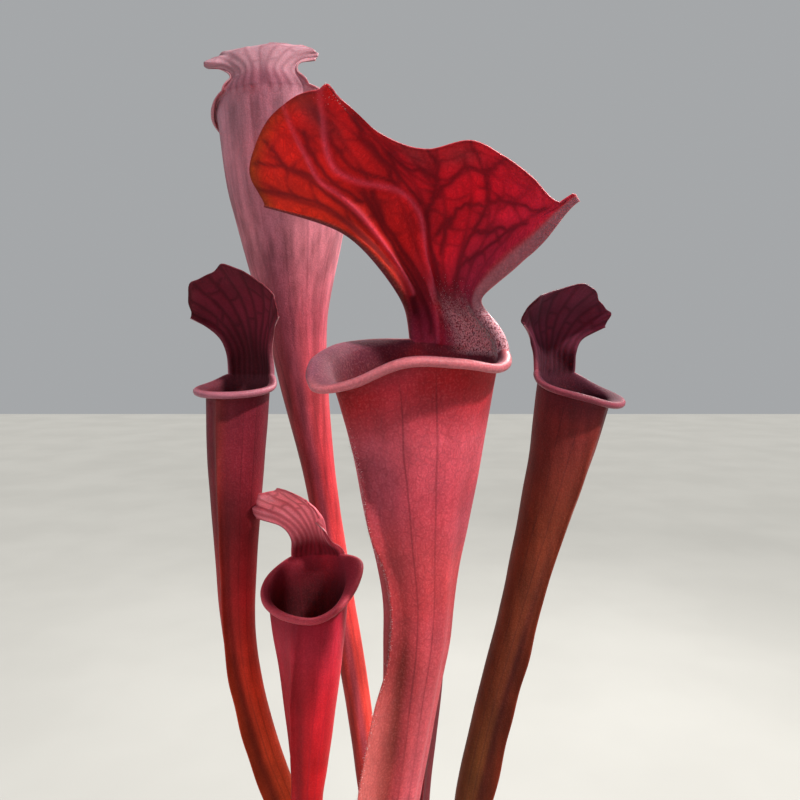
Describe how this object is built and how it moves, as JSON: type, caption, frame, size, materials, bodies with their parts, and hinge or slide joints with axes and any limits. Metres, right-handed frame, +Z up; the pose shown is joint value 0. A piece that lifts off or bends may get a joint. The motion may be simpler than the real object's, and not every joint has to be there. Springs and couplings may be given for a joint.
{
  "type": "potted red trumpet pitcher plant",
  "caption": "Clump of red trumpet pitcher leaves with open throats, rolled lips and arched lids, growing from a rhizome in a round nursery pot of peat.",
  "frame": {"origin": "Centre of the pot's underside, on the surface that the pot stands on.", "axes": "+Z up. The picture looks along +Y, with +X to its right, so the main pitcher stands in front, at -Y."},
  "size_m": [0.2357, 0.2301, 0.7532],
  "materials": {
    "pot_plastic": "satin black polypropylene",
    "peat": null,
    "rhizome_tissue": "woody stem with old leaf bases",
    "leaf_main": "velvety crimson leaf; leather stands in for leaf tissue",
    "leaf_tall": "dusty mauve leaf; leather stands in for leaf tissue",
    "leaf_low": "crimson leaf; leather stands in for leaf tissue",
    "leaf_left": "dark maroon leaf; leather stands in for leaf tissue",
    "leaf_right": "dark red-brown leaf; leather stands in for leaf tissue",
    "leaf_hidden": "dark maroon leaf; leather stands in for leaf tissue"
  },
  "bodies": {
    "root": {"pot": "pot_plastic", "soil": "peat", "rhizome": "rhizome_tissue", "pitcher_main": "leaf_main", "pitcher_tall": "leaf_tall", "pitcher_low": "leaf_low", "pitcher_left": "leaf_left", "pitcher_right": "leaf_right", "pitcher_hidden": "leaf_hidden"}
  },
  "joints": []
}
